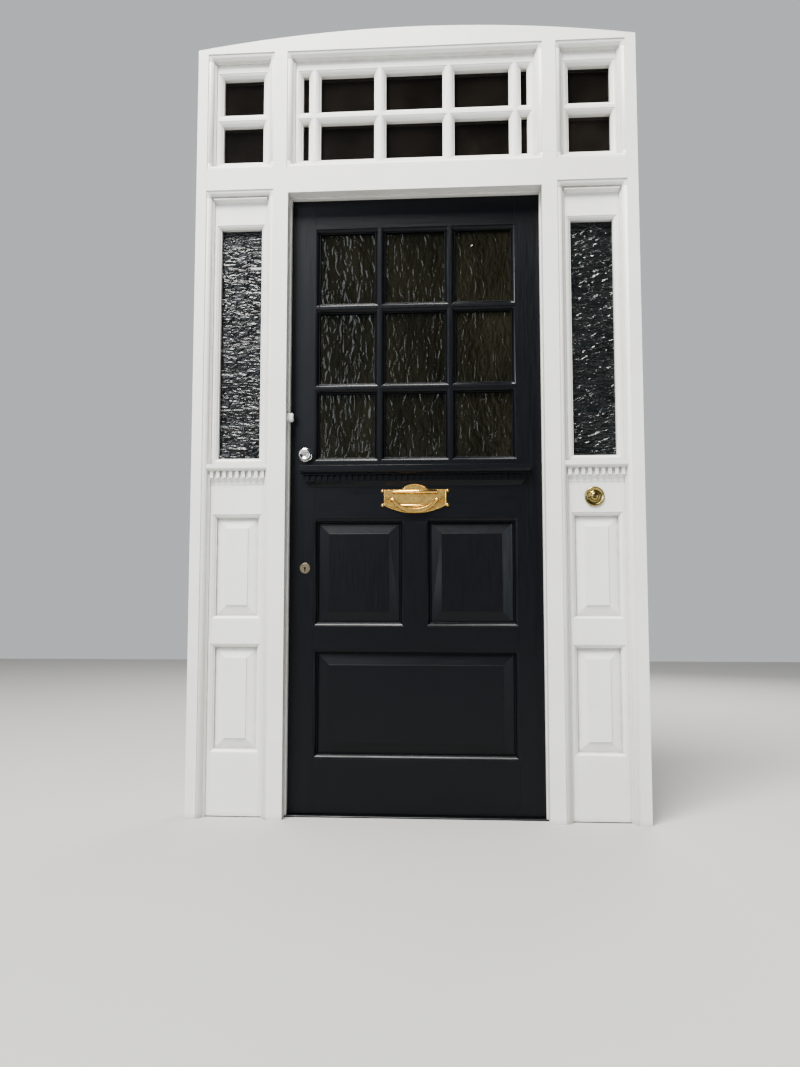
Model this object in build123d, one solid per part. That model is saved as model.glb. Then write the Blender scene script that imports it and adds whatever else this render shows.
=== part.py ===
from build123d import *
import os

# Panelled front door in its frame, with a glazed light at each side and lights over the transom.
# Millimetres. X runs right seen from outside, Y into the house, Z up.
# Zero is the middle of the doorway, the middle of the frame's depth and the floor.

# Frame
jamb_face = 33
sidelight_width = 216
post_face = 48
mullion_setback = 42
door_rebate = 9
transom_height = 85
side_soffit_rise = 14
overlight_height = 386
head_end_rise = 14
head_crown_rise = 52
moulding_width = 22
moulding_depth = 28
moulding_step = 3
rebate = 12
bed_drop = 12
bed_proud = 16
threshold_rise = 5
threshold_gap = 3
fixing_radius = 5
fixing_setback = 89
fixing_rise = 250
fixing_drop = 272

# Door leaf
leaf_width = 813
leaf_top = 1957
leaf_reveal = 58
leaf_thickness = 44
side_gap = 2.5
top_gap = 3
stop_width = 5.5
stop_depth = 20
stop_gap = 0.5
stile_width = 88.5
muntin_half = 35
lock_rail = (914, 1096)
middle_rail = (506, 577)
bottom_rail_top = 172
top_rail_height = 105
sticking = 13
bar_width = 34
bar_share_across = 0.352
bar_shares_up = (0.31, 0.656)
glass_sink = 19
leaf_glass_thickness = 6
bevel = 35
field_sink = 6
field_step = 2.5
tongue = 9.8
groove = 10
groove_deep = 10

# Sidelights and overlights
sash_thickness = 44
sash_gap = 0.5
side_stile = 9
side_sticking = 11
side_rails = (192, 524, 600, 926, 1092)
side_top_rail = 83
side_bevel = 32
side_glass_sink = 25
glass_thickness = 6
over_sticking = 14
over_glass_sink = 30
over_bar = 38
over_bottom_rail = 16
over_top_rail = 42
over_side_stile = 20
over_centre_stile = 23
over_bar_shares = (0.2865, 0.8385)
glass_rebate = 11
glass_room = 1
bead_room = 0.25
retainer_depth = 10

# Dentil mouldings
shelf_drop = 17
shelf_height = 66
shelf_nose = 30
shelf_setback = 75.5
shelf_tooth_drop = 29
shelf_tooth_height = 17
side_shelf_drop = 9
side_shelf_height = 63
side_nose = 20
side_tooth_drop = 21
side_tooth_height = 22
tooth_width = 11
tooth_pitch = 19.4

# Letter plate, all measured from its pivots
plate_level = 971
plate_half = 97.5
plate_thickness = 3
plate_rim = 1.6
crown_rise = 51
crown_half = 46
shoulder_rise = 33
foot_drop = 17
belly_drop = 42
ear_radius = 5.5
hood_radius = 6
flap_half = 64
flap_rise = 18.5
flap_drop = 23.5
flap_gap = 0.5
flap_thickness = 2.5
boss_at = 82
clapper_stand = 8
clapper_half = 4
slot_half = 72
slot_rise = 25
slot_drop = 33
cover_half = 100
cover_drop = 39
cover_thickness = 3

# Locks
latch_backset = 60.5
latch_level = 1116
latch_throw = 12
plug_radius = 7
cam_arm = 12
cam_turn = 60
case_length = 95
case_depth = 28
case_wall = 2.5
keep_length = 44
keep_height = 32
lock_backset = 61.5
lock_level = 758
lock_throw = 14
bolt_rise = 8
bolt_half = 12
bolt_side = 5
pocket_gap = 2.5
lock_case_depth = 76
lock_case_half = 7.5
lock_case_wall = 1.5
forend_half = 11.8
forend_thickness = 3
forend_rise = 59.8
forend_drop = 79.8
strike_height = 60

# Hinges, bell and stud
hinge_foot = 200
hinge_middle = 1000
hinge_drop = 177
hinge_length = 100
hinge_width = 31
hinge_plate = 2.5
hinge_stand = 6
pin_radius = 3
knuckle_radius = 5.5
knuckle_gap = 0.15
bell_offset = 6
bell_rise = 48
bell_radius = 30.5
bell_body = 9
stud_level = 1231
stud_size = (19, 18, 28)
running = 0.05
clear = 0.3

# Planes and lines that follow from the sizes above
frame_depth = leaf_reveal + leaf_thickness
front = -frame_depth / 2
back = frame_depth / 2
leaf_front = front + leaf_reveal
leaf_middle = (leaf_front + back) / 2
leaf_half = leaf_width / 2
leaf_foot = threshold_rise + threshold_gap
wall_half = leaf_half + side_gap
wall_top = leaf_top + top_gap
reveal_half = wall_half - door_rebate
door_soffit = wall_top - door_rebate
opening = leaf_half - stile_width
top_rail_foot = leaf_top - top_rail_height
post_edge = reveal_half + post_face
frame_edge = post_edge + sidelight_width
frame_half_width = frame_edge + jamb_face
mullion_edge = post_edge - mullion_setback
transom_top = door_soffit + transom_height
head_foot = transom_top + overlight_height
head_end_top = head_foot + head_end_rise
head_crown = head_end_top + head_crown_rise
sight_in = post_edge + moulding_width
sight_out = frame_edge - moulding_width
side_middle = (sight_in + sight_out) / 2
side_head = door_soffit + side_soffit_rise - moulding_width
over_half = mullion_edge - moulding_width
over_foot = transom_top + moulding_width
over_head = head_foot - moulding_width
sash_front = front + moulding_depth
sash_back = sash_front + sash_thickness
stop_front = leaf_front - stop_depth
hinge_levels = (hinge_foot, hinge_middle, leaf_top - hinge_drop)
fixing_levels = (fixing_rise, head_foot - fixing_drop)
latch_at = (latch_backset - leaf_half, latch_level)
lock_at = (lock_backset - leaf_half, lock_level)
bell_at = (side_middle - bell_offset, side_rails[3] + bell_rise)
plate_face = leaf_front - plate_thickness
flap_top = plate_level + flap_rise
flap_foot = plate_level - flap_drop



def block(x0, x1, y0, y1, z0, z1):
    centre = Pos((x0 + x1) / 2, (y0 + y1) / 2, (z0 + z1) / 2)
    return centre * Box(x1 - x0, y1 - y0, z1 - z0)


def rod(start, end, radius):
    way = Vector(*end) - Vector(*start)
    return extrude(Plane(origin=start, z_dir=way) * Circle(radius), amount=way.length, dir=way)


# A line of steps: each is a point, or a pair that holds an arc's middle and end
def lines(steps, place=lambda p: p):
    edges = []
    here = steps[0]
    for step in steps[1:]:
        if isinstance(step[0], tuple):
            middle, end = step
            edges.append(Edge.make_three_point_arc(place(here), place(middle), place(end)))
        else:
            end = step
            edges.append(Edge.make_line(place(here), place(end)))
        here = end
    return edges


def outline(steps):
    return make_face(lines(steps + [steps[0]]))


def along_x(face, x0, x1):
    plane = Plane(origin=(x0, 0, 0), x_dir=(0, 1, 0), z_dir=(1, 0, 0))
    return extrude(plane * face, amount=x1 - x0, dir=(1, 0, 0))


def along_y(face, y0, y1):
    plane = Plane(origin=(0, y0, 0), x_dir=(1, 0, 0), z_dir=(0, -1, 0))
    return extrude(plane * face, amount=y1 - y0, dir=(0, 1, 0))


def along_z(face, z0, z1):
    return extrude(Pos(0, 0, z0) * face, amount=z1 - z0, dir=(0, 0, 1))


# A solid round an upright rectangle, whose edge follows one line of steps from front to back,
# mitred at its corners; a step is how far out of the rectangle, and its Y
def mitred(x0, x1, z0, z1, steps):
    spare = 2 * max(abs(p[-1][0]) if isinstance(p[0], tuple) else abs(p[0]) for p in steps) + 1

    def section(low, high, turn):
        near = lines(steps, lambda p: turn(low - p[0], p[1]))
        far = lines(steps, lambda p: turn(high + p[0], p[1]))
        ends = [steps[0], steps[-1]]
        caps = [Edge.make_line(turn(low - p[0], p[1]), turn(high + p[0], p[1])) for p in ends]
        return make_face(near + far + caps)

    upright = along_z(section(x0, x1, lambda u, y: (u, y)), z0 - spare, z1 + spare)
    level = along_x(section(z0, z1, lambda u, y: (y, u)), x0 - spare, x1 + spare)
    return upright & level


def turned(x, z, steps):
    return Pos(x, 0, z) * revolve(outline(steps), Axis.Y)


def mirrored(shape):
    return mirror(shape, about=Plane.YZ)


def pieces(*shapes):
    return Compound(children=[solid for shape in shapes for solid in shape.solids()])


# Ovolo worked on the outer frame round every light, with the rebate behind it
def frame_moulding():
    w = moulding_width
    foot = front + moulding_depth
    ovolo_foot = foot - 3 * moulding_step
    return [
        (w, front - 1),
        (w, front + moulding_step),
        (w - 2, front + moulding_step),
        ((w * 0.45, front + w * 0.36), (2 * moulding_step, ovolo_foot)),
        (moulding_step, ovolo_foot),
        (moulding_step, ovolo_foot + moulding_step),
        (0, ovolo_foot + moulding_step),
        (0, foot),
        (rebate, foot),
        (rebate, back + 1),
    ]


# Small ovolo worked on a door member: first the steps from its face down to the moulding's foot
def small_ovolo(width, face, inward):
    quirk = 1.5
    depth = width - 2
    return [
        (width, face - inward),
        (width, face + quirk * inward),
        (width - quirk, face + quirk * inward),
        ((width * 0.42, face + width * 0.42 * inward), (2, face + depth * inward)),
        (0, face + depth * inward),
    ]


def reverse(steps):
    ends = [step[1] if isinstance(step[0], tuple) else step for step in steps]
    turned_round = [ends[-1]]
    for step, end in zip(reversed(steps[1:]), reversed(ends[:-1])):
        turned_round.append((step[0], end) if isinstance(step[0], tuple) else end)
    return turned_round


def panel_opening(width, face, rear):
    middle = (face + rear) / 2
    lip = groove / 2
    front_steps = small_ovolo(width, face, 1)
    rear_steps = reverse(small_ovolo(width, rear, -1))
    slot = [(0, middle - lip), (groove_deep, middle - lip), (groove_deep, middle + lip), (0, middle + lip)]
    return front_steps + slot + rear_steps


def glass_opening(width, face, rear, glass_face):
    bed = [(0, glass_face), (glass_rebate, glass_face), (glass_rebate, rear + 1)]
    return small_ovolo(width, face, 1) + bed


# Panel raised and fielded on both faces, its tongue in the groove round it
def raised_panel(x0, x1, z0, z1, face, rear, slope):
    middle = (face + rear) / 2
    lip = tongue / 2
    reach = groove_deep - glass_room
    return mitred(x0, x1, z0, z1, [
        (-slope, face + field_sink),
        (-slope, face + field_sink + field_step),
        (0, middle - lip),
        (reach, middle - lip),
        (reach, middle + lip),
        (0, middle + lip),
        (-slope, rear - field_sink - field_step),
        (-slope, rear - field_sink),
    ])


def pane(x0, x1, z0, z1, glass_face, thickness):
    reach = glass_rebate - glass_room
    return block(x0 - reach, x1 + reach, glass_face, glass_face + thickness, z0 - reach, z1 + reach)


# Loose bead that holds a pane in from the room side, chamfered toward the glass
def glazing_bead(x0, x1, z0, z1, y0, y1):
    reach = glass_rebate - bead_room
    chamfer = reach * 0.6
    whole = block(x0 - reach, x1 + reach, y0, y1, z0 - reach, z1 + reach)
    return whole - mitred(x0, x1, z0, z1, [(0, y0 - 1), (0, y1 - chamfer), (chamfer, y1), (chamfer, y1 + 1)])


def sidelight_opening():
    return mitred(sight_in, sight_out, -moulding_width * 2, side_head, frame_moulding())


def overlight_openings():
    side = mitred(sight_in, sight_out, over_foot, over_head, frame_moulding())
    centre = mitred(-over_half, over_half, over_foot, over_head, frame_moulding())
    return [side, mirrored(side), centre]


def doorway():
    clear = block(-reveal_half, reveal_half, front - 1, back + 1, -1, door_soffit)
    return clear + block(-wall_half, wall_half, leaf_front, back + 1, -1, wall_top)


def hinge_recesses():
    cuts = []
    for level in hinge_levels:
        low, high = level - hinge_length / 2, level + hinge_length / 2
        near, far = leaf_half - hinge_plate, wall_half + hinge_plate
        cuts.append(block(near, far, back - hinge_width, back + 1, low, high))
    return cuts


def lock_pocket():
    x, z = lock_at
    m = leaf_middle
    edge = -wall_half
    half = forend_half
    plate = block(edge - 2, edge, m - half, m + half, z - strike_height, z + strike_height)
    wide, tall = bolt_side + pocket_gap, bolt_half + pocket_gap
    z += bolt_rise
    hole = block(edge - lock_throw - 4, edge, m - wide, m + wide, z - tall, z + tall)
    return plate, hole


# Each post is a moulded face board glued to the lining that the leaf shuts in
def outer_frame():
    light = sidelight_opening()
    lights = [light, mirrored(light)] + overlight_openings()
    door = doorway()
    crossing = block(-frame_edge, frame_edge, front, back, side_head, over_foot)
    transom = crossing - lights - door
    jamb = block(sight_out, frame_half_width, front, back, 0, over_head) - lights - crossing
    for level in fixing_levels:
        y = front + fixing_setback
        jamb -= rod((sight_out, y, level), (frame_half_width + 1, y, level), fixing_radius)
    face_board = block(reveal_half, sight_in, front, leaf_front, 0, side_head) - light
    lining = block(wall_half, sight_in, leaf_front, back, 0, side_head) - light
    plate, hole = lock_pocket()
    mullion = block(over_half, sight_in, front, back, over_foot, over_head) - lights
    arch = outline([
        (-frame_half_width, over_head),
        (frame_half_width, over_head),
        (frame_half_width, head_end_top),
        ((0, head_crown), (-frame_half_width, head_end_top)),
    ])
    head = along_y(arch, front, back) - lights
    nodes["jamb_right"] = jamb
    nodes["jamb_left"] = mirrored(jamb)
    nodes["post_right"] = pieces(face_board, lining - hinge_recesses())
    nodes["post_left"] = pieces(mirrored(face_board), mirrored(lining) - plate - hole)
    nodes["transom"] = transom
    nodes["head"] = head
    nodes["mullion_right"] = mullion
    nodes["mullion_left"] = mirrored(mullion)


def door_surround():
    edge = reveal_half - stop_width
    stop_back = leaf_front - stop_gap
    stop = block(edge, reveal_half, stop_front, stop_back, threshold_rise, door_soffit)
    top_stop = block(-edge, edge, stop_front, stop_back, door_soffit - stop_width, door_soffit)
    nodes["door_stops"] = pieces(stop, mirrored(stop), top_stop)
    outer = block(-reveal_half, reveal_half, stop_front, leaf_front, 0, threshold_rise)
    inner = block(-wall_half, wall_half, leaf_front, back, 0, threshold_rise)
    strip = chamfer((outer + inner).edges().filter_by(Axis.X).group_by(Axis.Z)[-1].sort_by(Axis.Y)[0], 2)
    nodes["threshold_strip"] = strip


# Small scotia planted under the transom, over each sidelight
def bed_beads():
    y = sash_front - bed_proud
    foot = side_head - bed_drop
    section = outline([
        (sash_front, side_head),
        (y, side_head),
        (y, side_head - moulding_step),
        ((y + bed_proud / 2, side_head - 2 * moulding_step), (sash_front - 2, foot + moulding_step)),
        (sash_front - 2, foot),
        (sash_front, foot),
    ])
    bead = along_x(section, sight_in, sight_out)
    nodes["bed_beads"] = pieces(bead, mirrored(bead))


def sidelight():
    x0, x1 = sight_in + side_stile + side_sticking, sight_out - side_stile - side_sticking
    s = side_sticking
    out0, out1 = sight_in - rebate + sash_gap, sight_out + rebate - sash_gap
    foot, top = threshold_gap, side_head + rebate - sash_gap
    glass_face = sash_front + side_glass_sink
    base, low, rail, high, lock = side_rails
    crown = side_head - side_top_rail
    panel = panel_opening(s, sash_front, sash_back)
    glazing = glass_opening(s, sash_front, sash_back, glass_face)
    voids = [
        mitred(x0, x1, base + s, low - s, panel),
        mitred(x0, x1, rail + s, high - s, panel),
        mitred(x0, x1, lock + s, crown - s, glazing),
    ]
    spans = [(foot, base + s), (low - s, rail + s), (high - s, lock + s), (crown - s, top)]
    rails = [block(x0 - s, x1 + s, sash_front, sash_back, z0, z1) for z0, z1 in spans]
    stiles = [block(a, b, sash_front, sash_back, foot, top) for a, b in ((out0, x0), (x1, out1))]
    stiles = [stile - rails - voids for stile in stiles]
    rails = [member - voids for member in rails]
    x, z = bell_at
    bored = rails[2] - rod((x, sash_front - 1, z), (x, sash_back + 1, z), bell_body + 0.3)
    panels = [
        raised_panel(x0, x1, base + s, low - s, sash_front, sash_back, side_bevel),
        raised_panel(x0, x1, rail + s, high - s, sash_front, sash_back, side_bevel),
    ]
    glass = pane(x0, x1, lock + s, crown - s, glass_face, glass_thickness)
    bead = glazing_bead(x0, x1, lock + s, crown - s, glass_face + glass_thickness, sash_back)
    left = [mirrored(member) for member in stiles + rails]
    nodes["sidelight_right_frame"] = pieces(*stiles, rails[0], rails[1], bored, rails[3])
    nodes["sidelight_left_frame"] = pieces(*left)
    nodes["sidelight_right_panels"] = pieces(*panels)
    nodes["sidelight_left_panels"] = pieces(*[mirrored(p) for p in panels])
    nodes["sidelight_glass"] = pieces(glass, mirrored(glass))
    nodes["sidelight_beads"] = pieces(bead, mirrored(bead), *retainers())


# Square beads that hold each sidelight and overlight in its rebate from the room side
def retainers():
    y1 = sash_back + retainer_depth
    around = [(rebate - bead_room, sash_back), (rebate - bead_room, y1)]
    inside = [(0, sash_back - 1), (0, y1 + 1)]
    ring = mitred(sight_in, sight_out, side_rails[0], side_head, around)
    ring -= mitred(sight_in, sight_out, 0, side_head, inside)
    return [ring, mirrored(ring)]


def over_sash(half_out, centre, columns):
    out = rebate - sash_gap
    x0, x1 = centre - half_out, centre + half_out
    sill, top = over_foot + over_bottom_rail, over_head - over_top_rail
    middle = (sill + top) / 2
    rows = [(sill, middle - over_bar / 2), (middle + over_bar / 2, top)]
    glass_face = sash_front + over_glass_sink
    edge = glass_opening(over_sticking, sash_front, sash_back, glass_face)
    sash = block(x0 - out, x1 + out, sash_front, sash_back, over_foot - out, over_head + out)
    glass, beads = [], []
    for a, b in columns:
        for z0, z1 in rows:
            sash -= mitred(a, b, z0, z1, edge)
            glass.append(pane(a, b, z0, z1, glass_face, glass_thickness))
            beads.append(glazing_bead(a, b, z0, z1, glass_face + glass_thickness, sash_back))
    return sash, glass, beads


def overlights():
    inner, outer = [share * over_half for share in over_bar_shares]
    h = over_bar / 2
    edge = over_half - over_centre_stile
    columns = [(inner + h, outer - h), (outer + h, edge)]
    columns = [(-b, -a) for a, b in reversed(columns)] + [(h - inner, inner - h)] + columns
    centre, centre_glass, centre_beads = over_sash(over_half, 0, columns)
    side_half = (sight_out - sight_in) / 2
    side_columns = [(sight_in + over_side_stile, sight_out - over_side_stile)]
    side, side_glass, side_beads = over_sash(side_half, side_middle, side_columns)
    nodes["overlight_centre_sash"] = centre
    nodes["overlight_right_sash"] = side
    nodes["overlight_left_sash"] = mirrored(side)
    nodes["overlight_glass"] = pieces(*centre_glass, *side_glass, *[mirrored(g) for g in side_glass])
    nodes["overlight_beads"] = pieces(*centre_beads, *side_beads, *[mirrored(b) for b in side_beads])


def column_edges():
    h = bar_width / 2
    edge = opening - sticking
    bar_at = bar_share_across * opening
    return [(-edge, -bar_at - h), (h - bar_at, bar_at - h), (bar_at + h, edge)]


def row_edges():
    h = bar_width / 2
    foot, top = lock_rail[1], top_rail_foot
    low, high = [foot + share * (top - foot) for share in bar_shares_up]
    return [(lock_rail[1] + sticking, low - h), (low + h, high - h), (high + h, top_rail_foot - sticking)]


def leaf_panels():
    s = sticking
    inner, edge = muntin_half + s, opening - s
    upper = (middle_rail[1] + s, lock_rail[0] - s)
    lower = (bottom_rail_top + s, middle_rail[0] - s)
    return [(inner, edge, *upper), (-edge, -inner, *upper), (-edge, edge, *lower)]


def leaf():
    s = sticking
    rear = back
    glass_face = leaf_front + glass_sink
    panes = [(*column, *row) for column in column_edges() for row in row_edges()]
    glazing = glass_opening(s, leaf_front, rear, glass_face)
    voids = [mitred(*sides, glazing) for sides in panes]
    panel = panel_opening(s, leaf_front, rear)
    voids += [mitred(*sides, panel) for sides in leaf_panels()]

    def rail(z0, z1):
        return block(-opening, opening, leaf_front, rear, z0, z1)

    rails = {
        "top_rail": rail(top_rail_foot - s, leaf_top),
        "lock_rail": rail(lock_rail[0] - s, lock_rail[1] + s),
        "middle_rail": rail(middle_rail[0] - s, middle_rail[1] + s),
        "bottom_rail": rail(leaf_foot, bottom_rail_top + s),
    }
    stile = block(opening - s, leaf_half, leaf_front, rear, leaf_foot, leaf_top)
    stile = stile - list(rails.values()) - voids
    nodes["hinge_stile"] = stile - hinge_recesses()
    nodes["lock_stile"] = mirrored(stile) - lock_mortice() - latch_bore()
    for name, member in rails.items():
        nodes[name] = member - voids
    nodes["lock_rail"] -= letter_slot()
    muntin = block(-muntin_half - s, muntin_half + s, leaf_front, rear, middle_rail[1] + s, lock_rail[0] - s)
    nodes["muntin"] = muntin - voids
    bars = block(-opening + s, opening - s, leaf_front, rear, lock_rail[1] + s, top_rail_foot - s) - voids
    nodes["glazing_bars"] = bars
    right, left, lower = [raised_panel(*sides, leaf_front, rear, bevel) for sides in leaf_panels()]
    nodes["upper_panel_right"] = right
    nodes["upper_panel_left"] = left
    nodes["lower_panel"] = lower
    nodes["leaf_glass"] = pieces(*[pane(*sides, glass_face, leaf_glass_thickness) for sides in panes])
    bead_front = glass_face + leaf_glass_thickness
    nodes["leaf_beads"] = pieces(*[glazing_bead(*sides, bead_front, rear - 2) for sides in panes])


# Shelf moulding with a row of dentils: a nose, a row of blocks and a bed mould, from the top down.
# Its small members keep their share of the nose
def shelf_steps(top, nose, tooth_top, tooth_foot, foot):
    unit = nose / 10
    band = nose * 0.26
    lip = nose * 0.7
    return [
        (0, top),
        (nose - unit / 2, top),
        ((nose - unit * 0.15, top - unit * 0.15), (nose, top - unit / 2)),
        (nose, tooth_top + unit * 5),
        ((nose - unit * 1.1, tooth_top + unit * 2.1), (lip, tooth_top + unit)),
        (lip, tooth_top),
        (band, tooth_top),
        (band, tooth_foot),
        (band + unit, tooth_foot),
        (band + unit, tooth_foot - unit),
        ((band - unit / 3, tooth_foot - unit * 2.7), (unit / 2, foot + unit * 0.7)),
        (unit / 2, foot),
        (0, foot),
    ]


def teeth(x0, x1, face, tooth_top, tooth_foot, proud):
    count = round((x1 - x0 - tooth_width) / tooth_pitch)
    pitch = (x1 - x0 - tooth_width) / count
    return [
        block(x0 + i * pitch, x0 + i * pitch + tooth_width, face - proud, face, tooth_foot, tooth_top)
        for i in range(count + 1)
    ]


def dentil_shelf():
    top = lock_rail[1] - shelf_drop
    tooth_top = top - shelf_tooth_drop
    tooth_foot = tooth_top - shelf_tooth_height
    steps = shelf_steps(top, shelf_nose, tooth_top, tooth_foot, top - shelf_height)
    half = leaf_half - shelf_setback
    right = lines(steps, lambda q: (half + q[0], q[1]))
    left = lines(steps, lambda q: (-half - q[0], q[1]))
    caps = [Edge.make_line((-half, z), (half, z)) for z in (steps[0][1], steps[-1][1])]
    section = make_face(lines(steps + [steps[0]], lambda q: (leaf_front - q[0], q[1])))
    shelf = along_x(section, -half - shelf_nose, half + shelf_nose)
    shelf &= along_y(make_face(right + left + caps), leaf_front - shelf_nose, leaf_front)
    proud = shelf_nose * 0.42
    end = half + proud
    shelf += teeth(-end, end, leaf_front, tooth_top, tooth_foot, proud)
    notch = offset(plate_outline(), clear)
    nodes["dentil_shelf"] = shelf - along_y(notch, plate_face - clear, leaf_front)


def sidelight_dentils():
    top = side_rails[4] - side_shelf_drop
    tooth_top = top - side_tooth_drop
    tooth_foot = tooth_top - side_tooth_height
    steps = shelf_steps(top, side_nose, tooth_top, tooth_foot, top - side_shelf_height)
    section = make_face(lines(steps + [steps[0]], lambda q: (sash_front - q[0], q[1])))
    row = along_x(section, post_edge, frame_edge)
    row += teeth(sight_in, sight_out, sash_front, tooth_top, tooth_foot, side_nose * 0.6)
    row -= [nodes["jamb_right"], nodes["post_right"]]
    nodes["sidelight_right_dentils"] = row
    nodes["sidelight_left_dentils"] = mirrored(row)


def letter_slot():
    low, high = plate_level - slot_drop, plate_level + slot_rise
    return block(-slot_half, slot_half, leaf_front - 1, back + 1, low, high)


# Letter plate: a round crown on hollow shoulders, a bellied foot and a small ear at each corner
def plate_outline():
    top, shoulder = plate_level + crown_rise, plate_level + shoulder_rise
    foot, belly = plate_level - foot_drop, plate_level - belly_drop
    side = plate_half
    neck = crown_half * 0.72
    rise = (top - shoulder) * 0.46
    body = outline([
        (-side, foot),
        ((0, belly), (side, foot)),
        (side, shoulder),
        (crown_half, shoulder),
        ((crown_half * 0.82, shoulder + rise * 0.3), (neck, shoulder + rise)),
        ((0, top), (-neck, shoulder + rise)),
        ((-crown_half * 0.82, shoulder + rise * 0.3), (-crown_half, shoulder)),
        (-side, shoulder),
    ])
    reach = ear_radius * 0.75
    for x in (-side - reach, side + reach):
        for z in (foot + 1, shoulder - reach):
            body += Pos(x, z) * Circle(ear_radius)
    return body


# Sunk arch in the crown, over the hood
def crown_recess():
    chord = plate_level + shoulder_rise + 2
    half = crown_half * 0.55
    arch = outline([(half, chord), ((0, plate_level + crown_rise - 5), (-half, chord))])
    return along_y(arch, plate_face - 1, plate_face + 1)


# Post that carries one end of the bow, bored for its pin
def plate_boss():
    face = plate_face
    end = face - clapper_stand - 6.5
    return turned(boss_at, plate_level, [
        (0, face), (9, face), (9, face - 3), (7.6, face - 6), (7.6, end + 1.5), (6.4, end),
        (3, end), (3, end + 3.5), (0, end + 3.5),
    ])


def letter_plate():
    face = plate_face
    plate = along_y(plate_outline(), face + 1, leaf_front)
    plate += along_y(offset(plate_outline(), -plate_rim), face, face + 1)
    room = flap_half + flap_gap
    lug = block(room + 0.5, room + 5.5, face, leaf_front + 4, flap_top - 9, flap_top + 1)
    plate += [lug, mirrored(lug)]
    pivot = flap_axis()
    plate -= block(-room, room, face - 1, leaf_front + 1, flap_foot - flap_gap, flap_top + 1)
    plate -= rod((-flap_half - 4, *pivot), (flap_half + 4, *pivot), 1.5 + running)
    plate -= crown_recess()
    hood_at = flap_top + 1 + hood_radius
    hood = rod((-flap_half - 5, face, hood_at), (flap_half + 5, face, hood_at), hood_radius)
    hood &= block(-plate_half, plate_half, face - hood_radius, face, flap_top, hood_at + hood_radius)
    axle = clapper_axis()
    boss = plate_boss() - rod((boss_at - 20, *axle), (boss_at, *axle), 2 + running)
    strike_at = plate_level - belly_drop + 7
    strike = rod((0, face, strike_at), (0, axle[0] + clapper_half + clear, strike_at), 4)
    nodes["letter_plate"] = pieces(plate, hood, boss, mirrored(boss), strike)


def clapper_axis():
    return (plate_face - clapper_stand, plate_level)


def flap_axis():
    return (leaf_front - 1, flap_top - 3.5)


def letter_flap():
    face = plate_face
    flap = block(-flap_half, flap_half, face, face + flap_thickness, flap_foot, flap_top)
    lip = rod((3 - flap_half, face, flap_foot + 6), (flap_half - 3, face, flap_foot + 6), 3.2)
    lip &= block(-flap_half, flap_half, face - 4, face + 1, flap_foot, flap_top)
    panel = block(8 - flap_half, flap_half - 8, face - 0.8, face, flap_foot + 14, flap_top - 8)
    y, z = flap_axis()
    barrel = rod((-flap_half, y, z), (flap_half, y, z), 2)
    pivot = rod((-flap_half - 3.5, y, z), (flap_half + 3.5, y, z), 1.5)
    nodes["letter_flap"] = flap + lip + panel + barrel + pivot


# Bow handle: a crescent, thick in its middle, with an eye and a stub pin at each end
def clapper():
    y, z = clapper_axis()
    end = boss_at - 13
    bow = outline([
        (-end - 4, z),
        ((0, z - belly_drop), (end + 4, z)),
        (end - 5, z),
        ((0, z - belly_drop + 14), (5 - end, z)),
    ])
    solid = along_y(bow, y - clapper_half, y + clapper_half)
    rims = solid.faces().sort_by(Axis.Y)
    long_edges = [edge for edge in rims[0].edges() + rims[-1].edges() if edge.length > 20]
    solid = chamfer(long_edges, 2.2)
    for side in (-1, 1):
        solid += rod((side * (end - 4), y, z), (side * (end + 4), y, z), 5)
        solid += rod((side * end, y, z), (side * (boss_at - 4), y, z), 2)
    nodes["clapper"] = solid


# Draught cover over the slot inside, with its hanging flap
def inner_cover():
    y0, y1 = back, back + cover_thickness
    foot, top = plate_level - cover_drop, plate_level + shoulder_rise
    y, z = back + 5.5, top - 7
    plate = block(-cover_half, cover_half, y0, y1, foot, top)
    plate = chamfer(plate.faces().sort_by(Axis.Y)[-1].edges(), 1)
    window = slot_half - 2
    plate -= block(-window, window, y0 - 1, y1 + 1, foot + 9, z - 4)
    lug = block(slot_half, slot_half + 12, y1, y + 2.5, z - 3, z + 3)
    plate += [lug, mirrored(lug)]
    pin = slot_half + 7
    plate -= rod((-pin - 1, y, z), (pin + 1, y, z), 1.5 + running)
    nodes["inner_cover"] = plate
    flap = block(-pin + 1, pin - 1, y1 + 1, y1 + 2.5, foot + 3, z - 4)
    flap += block(1 - slot_half, slot_half - 1, y1 + 1, y1 + 2.5, z - 4, z)
    flap += rod((1 - slot_half, y, z), (slot_half - 1, y, z), 2)
    flap += rod((-pin, y, z), (pin, y, z), 1.5)
    nodes["inner_flap"] = flap


def latch_bore():
    x, z = latch_at
    return rod((x, leaf_front - 1, z), (x, back + 1, z), 16)


def lock_mortice():
    x, z = lock_at
    edge = -leaf_half
    half, wide = lock_case_half + 0.5, forend_half + 0.2
    case = block(edge, edge + lock_case_depth + 1, leaf_middle - half, leaf_middle + half, z - 60, z + 40)
    low, high = z - forend_drop - 0.2, z + forend_rise + 0.2
    forend = block(edge, edge + forend_thickness, leaf_middle - wide, leaf_middle + wide, low, high)
    key = rod((x, leaf_front - 1, z), (x, back + 1, z), 5)
    key += block(x - 2.5, x + 2.5, leaf_front - 1, back + 1, z - 14, z)
    return case + forend + key


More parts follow.
